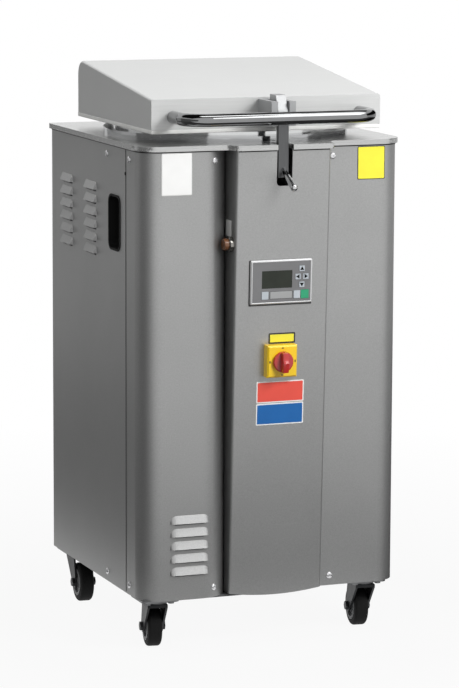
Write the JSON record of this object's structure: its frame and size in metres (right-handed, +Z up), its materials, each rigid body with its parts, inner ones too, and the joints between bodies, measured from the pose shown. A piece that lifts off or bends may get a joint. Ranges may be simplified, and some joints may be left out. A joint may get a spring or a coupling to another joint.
{
  "type": "dough divider",
  "caption": "Hydraulic dough divider on swivel casters: louvred steel cabinet, round dough bowl with rising press plate and knives, latching hinged lid with a bar handle.",
  "frame": {"origin": "on the floor, under the middle of the whole machine's bounding box", "axes": "+Z up, the console faces -Y, +X to the right of someone facing the console"},
  "size_m": [0.562, 0.6678, 1.1226],
  "materials": {
    "cabinet_paint": "satin metallic grey paint",
    "frame_paint": "satin grey paint",
    "deck_steel": "brushed stainless steel",
    "polished_steel": "polished stainless steel",
    "bright_metal": "bright polished metal",
    "latch_steel": "satin machined steel",
    "lid_alloy": "sawn plate",
    "white_plastic": "white food-grade plastic",
    "black_plastic": "black moulded plastic",
    "machine_steel": "ground steel",
    "hydraulic_paint": "dark enamel",
    "box_plastic": "light grey enclosure",
    "display_plastic": "mid grey moulded plastic",
    "screen_glass": "dark screen",
    "key_grey": "light grey key",
    "key_green": "green key",
    "switch_yellow": "yellow plastic",
    "knob_red": "red plastic",
    "button_brown": "brown plastic",
    "caster_zinc": "zinc-plated steel",
    "wheel_grey": "grey moulded wheel centre",
    "tyre_black": "black rubber"
  },
  "bodies": {
    "cabinet": {"base_frame": "frame_paint", "top_deck": "deck_steel", "left_side_panel": "cabinet_paint", "right_side_panel": "cabinet_paint", "left_front_cover": "cabinet_paint", "right_front_panel": "cabinet_paint", "console_panel": "cabinet_paint", "rear_panel": "cabinet_paint", "side_grips": "black_plastic", "panel_screws": "bright_metal", "bowl_ring": "polished_steel", "dough_bowl": "polished_steel", "press_frame": "frame_paint", "hydraulic_cylinder": "machine_steel", "oil_tank": "hydraulic_paint", "pump_motor": "hydraulic_paint", "valve_block": "hydraulic_paint", "control_box": "box_plastic", "cable_gland": "black_plastic", "lid_hinge": "deck_steel", "latch_keeper": "latch_steel", "display_housing": "display_plastic", "display_screen": "screen_glass", "switch_housing": "switch_yellow", "button_bezel": "bright_metal", "caster_plates": "caster_zinc"},
    "press": {"press_ram": "machine_steel", "press_plate": "polished_steel"},
    "knives": {"knife_ram": "polished_steel", "knife_set": "polished_steel"},
    "lid": {"lid_cover": "deck_steel", "lid_core": "lid_alloy", "lid_press_plate": "white_plastic", "lid_handle": "bright_metal", "lid_hinge_arms": "frame_paint", "latch_bracket": "latch_steel"},
    "latch": {"latch_arm": "latch_steel", "latch_peg": "bright_metal"},
    "mains_knob": {"mains_knob": "knob_red"},
    "start_button": {"start_button": "button_brown"},
    "key_up": {"key_up": "key_grey"},
    "key_down": {"key_down": "key_grey"},
    "key_left": {"key_left": "key_grey"},
    "key_right": {"key_right": "key_grey"},
    "key_escape": {"key_escape": "key_grey"},
    "key_accept": {"key_accept": "key_green"},
    "key_function": {"key_function": "key_grey"},
    "fork_front_left": {"caster_fork_front_left": "caster_zinc"},
    "wheel_front_left": {"wheel_centre_front_left": "wheel_grey", "tyre_front_left": "tyre_black"},
    "fork_front_right": {"caster_fork_front_right": "caster_zinc"},
    "wheel_front_right": {"wheel_centre_front_right": "wheel_grey", "tyre_front_right": "tyre_black"},
    "fork_back_left": {"caster_fork_back_left": "caster_zinc"},
    "wheel_back_left": {"wheel_centre_back_left": "wheel_grey", "tyre_back_left": "tyre_black"},
    "fork_back_right": {"caster_fork_back_right": "caster_zinc"},
    "wheel_back_right": {"wheel_centre_back_right": "wheel_grey", "tyre_back_right": "tyre_black"}
  },
  "joints": [
    {"name": "lid_hinge", "type": "hinge", "parent": "cabinet", "child": "lid", "pos_m": [0, 0.27244, 1.018], "axis": [-1, 0, 0], "range_deg": [0, 75]},
    {"name": "latch_pivot", "type": "hinge", "parent": "lid", "child": "latch", "pos_m": [0.006, -0.24456, 1.058], "axis": [-1, 0, 0], "range_deg": [-5, 10]},
    {"name": "press_lift", "type": "slide", "parent": "cabinet", "child": "press", "axis": [0, 0, 1], "range_m": [0, 0.04]},
    {"name": "knife_lift", "type": "slide", "parent": "press", "child": "knives", "axis": [0, 0, 1], "range_m": [0, 0.065]},
    {"name": "mains_switch", "type": "hinge", "parent": "cabinet", "child": "mains_knob", "pos_m": [0.002, -0.26416, 0.57], "axis": [0, 0.9992, 0.04], "range_deg": [0, 90]},
    {"name": "start_button_press", "type": "slide", "parent": "cabinet", "child": "start_button", "axis": [1, 0, 0], "range_m": [0, 0.004], "stiffness_N_per_m": 600},
    {"name": "key_up_press", "type": "slide", "parent": "cabinet", "child": "key_up", "axis": [0, 0.9992, 0.04], "range_m": [0, 0.001], "stiffness_N_per_m": 1500},
    {"name": "key_down_press", "type": "slide", "parent": "cabinet", "child": "key_down", "axis": [0, 0.9992, 0.04], "range_m": [0, 0.001], "stiffness_N_per_m": 1500},
    {"name": "key_left_press", "type": "slide", "parent": "cabinet", "child": "key_left", "axis": [0, 0.9992, 0.04], "range_m": [0, 0.001], "stiffness_N_per_m": 1500},
    {"name": "key_right_press", "type": "slide", "parent": "cabinet", "child": "key_right", "axis": [0, 0.9992, 0.04], "range_m": [0, 0.001], "stiffness_N_per_m": 1500},
    {"name": "key_escape_press", "type": "slide", "parent": "cabinet", "child": "key_escape", "axis": [0, 0.9992, 0.04], "range_m": [0, 0.001], "stiffness_N_per_m": 1500},
    {"name": "key_accept_press", "type": "slide", "parent": "cabinet", "child": "key_accept", "axis": [0, 0.9992, 0.04], "range_m": [0, 0.001], "stiffness_N_per_m": 1500},
    {"name": "key_function_press", "type": "slide", "parent": "cabinet", "child": "key_function", "axis": [0, 0.9992, 0.04], "range_m": [0, 0.001], "stiffness_N_per_m": 1500},
    {"name": "swivel_front_left", "type": "hinge", "parent": "cabinet", "child": "fork_front_left", "pos_m": [-0.232, -0.20606, 0.095], "axis": [0, 0, 1], "continuous": true},
    {"name": "spin_front_left", "type": "hinge", "parent": "fork_front_left", "child": "wheel_front_left", "pos_m": [-0.22731, -0.17643, 0.04], "axis": [0.9877, -0.1564, 0], "continuous": true},
    {"name": "swivel_front_right", "type": "hinge", "parent": "cabinet", "child": "fork_front_right", "pos_m": [0.216, -0.18456, 0.095], "axis": [0, 0, 1], "continuous": true},
    {"name": "spin_front_right", "type": "hinge", "parent": "fork_front_right", "child": "wheel_front_right", "pos_m": [0.21966, -0.15478, 0.04], "axis": [0.9925, -0.1219, 0], "continuous": true},
    {"name": "swivel_back_left", "type": "hinge", "parent": "cabinet", "child": "fork_back_left", "pos_m": [-0.232, 0.26194, 0.095], "axis": [0, 0, 1], "continuous": true},
    {"name": "spin_back_left", "type": "hinge", "parent": "fork_back_left", "child": "wheel_back_left", "pos_m": [-0.23357, 0.23198, 0.04], "axis": [-0.9986, 0.0523, 0], "continuous": true},
    {"name": "swivel_back_right", "type": "hinge", "parent": "cabinet", "child": "fork_back_right", "pos_m": [0.216, 0.26194, 0.095], "axis": [0, 0, 1], "continuous": true},
    {"name": "spin_back_right", "type": "hinge", "parent": "fork_back_right", "child": "wheel_back_right", "pos_m": [0.20976, 0.2326, 0.04], "axis": [-0.9781, 0.2079, 0], "continuous": true}
  ]
}
